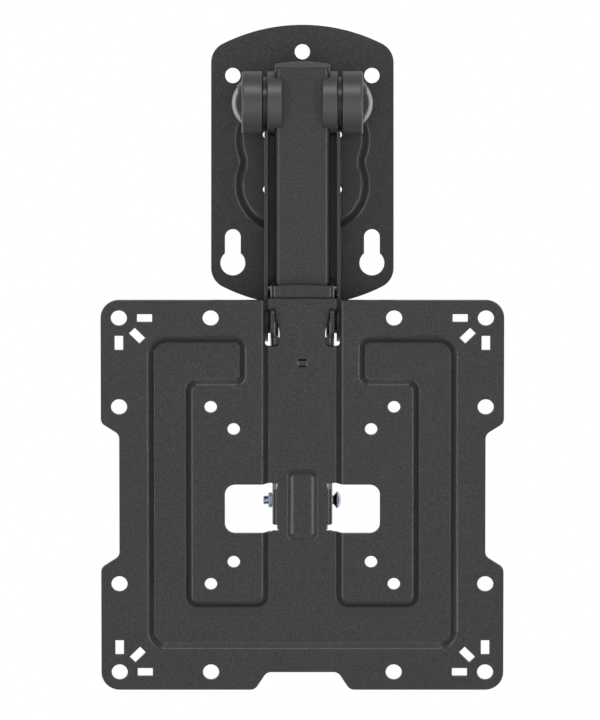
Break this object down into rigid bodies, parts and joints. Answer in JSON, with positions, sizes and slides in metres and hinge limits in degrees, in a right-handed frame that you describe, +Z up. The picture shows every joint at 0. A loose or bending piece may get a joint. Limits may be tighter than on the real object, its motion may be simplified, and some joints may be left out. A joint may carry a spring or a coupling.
{
  "type": "tv ceiling mount",
  "caption": "Folding ceiling mount for a television: a swivelling ceiling plate, a folding arm and a tilting pressed plate with the standard hole patterns.",
  "frame": {"origin": "on the ceiling plane, midway between the two side screw holes of the ceiling plate", "axes": "+Z up into the ceiling; the folded arm points towards -Y; X across, along both the folding and the tilting axis"},
  "size_m": [0.22, 0.3644, 0.0616],
  "materials": {
    "black_steel": "fine-textured black powder coat",
    "black_plastic": "satin moulded plastic",
    "cap_plastic": "smooth glossy plastic",
    "nylon": "plain black nylon",
    "blue_zinc": "bluish zinc plating",
    "dark_hardware": "black oxide"
  },
  "bodies": {
    "ceiling_part": {"ceiling_plate": "black_steel", "swivel_bolt": "dark_hardware", "swivel_glide": "nylon", "swivel_friction": "nylon", "swivel_washer": "dark_hardware", "swivel_nut": "dark_hardware"},
    "yoke": {"swivel_yoke": "black_steel", "outer_cover_left": "black_plastic", "outer_cover_right": "black_plastic", "end_cap_left": "cap_plastic", "end_cap_right": "cap_plastic"},
    "arm": {"arm_channel": "black_steel", "arm_cover": "black_steel", "arm_end_plug": "black_plastic", "inner_cover_left": "black_plastic", "inner_cover_right": "black_plastic", "hinge_bolt_left": "dark_hardware", "hinge_bolt_right": "dark_hardware", "hinge_nut_left": "dark_hardware", "hinge_nut_right": "dark_hardware", "hinge_spacer_left": "dark_hardware", "hinge_spacer_right": "dark_hardware", "hinge_friction_left": "nylon", "hinge_friction_right": "nylon", "hinge_washer_left": "dark_hardware", "hinge_washer_right": "dark_hardware", "tilt_bolt": "dark_hardware", "tilt_nut": "dark_hardware", "tilt_washer_left": "dark_hardware", "tilt_washer_right": "dark_hardware", "tilt_friction_left": "nylon", "tilt_friction_right": "nylon", "tilt_spacer": "dark_hardware", "limit_pin": "dark_hardware"},
    "head": {"head_bracket": "black_steel", "vesa_plate": "black_steel", "lock_bolt": "blue_zinc", "lock_nut": "blue_zinc"}
  },
  "joints": [
    {"name": "swivel", "type": "hinge", "parent": "ceiling_part", "child": "yoke", "pos_m": [0, -0.0475, 0], "axis": [0, 0, 1], "range_deg": [-45, 45]},
    {"name": "arm_hinge", "type": "hinge", "parent": "yoke", "child": "arm", "pos_m": [0, -0.0156, -0.04], "axis": [1, 0, 0], "range_deg": [0, 90]},
    {"name": "tilt", "type": "hinge", "parent": "arm", "child": "head", "pos_m": [0, -0.1313, -0.04], "axis": [1, 0, 0], "range_deg": [0, 14.5]}
  ]
}
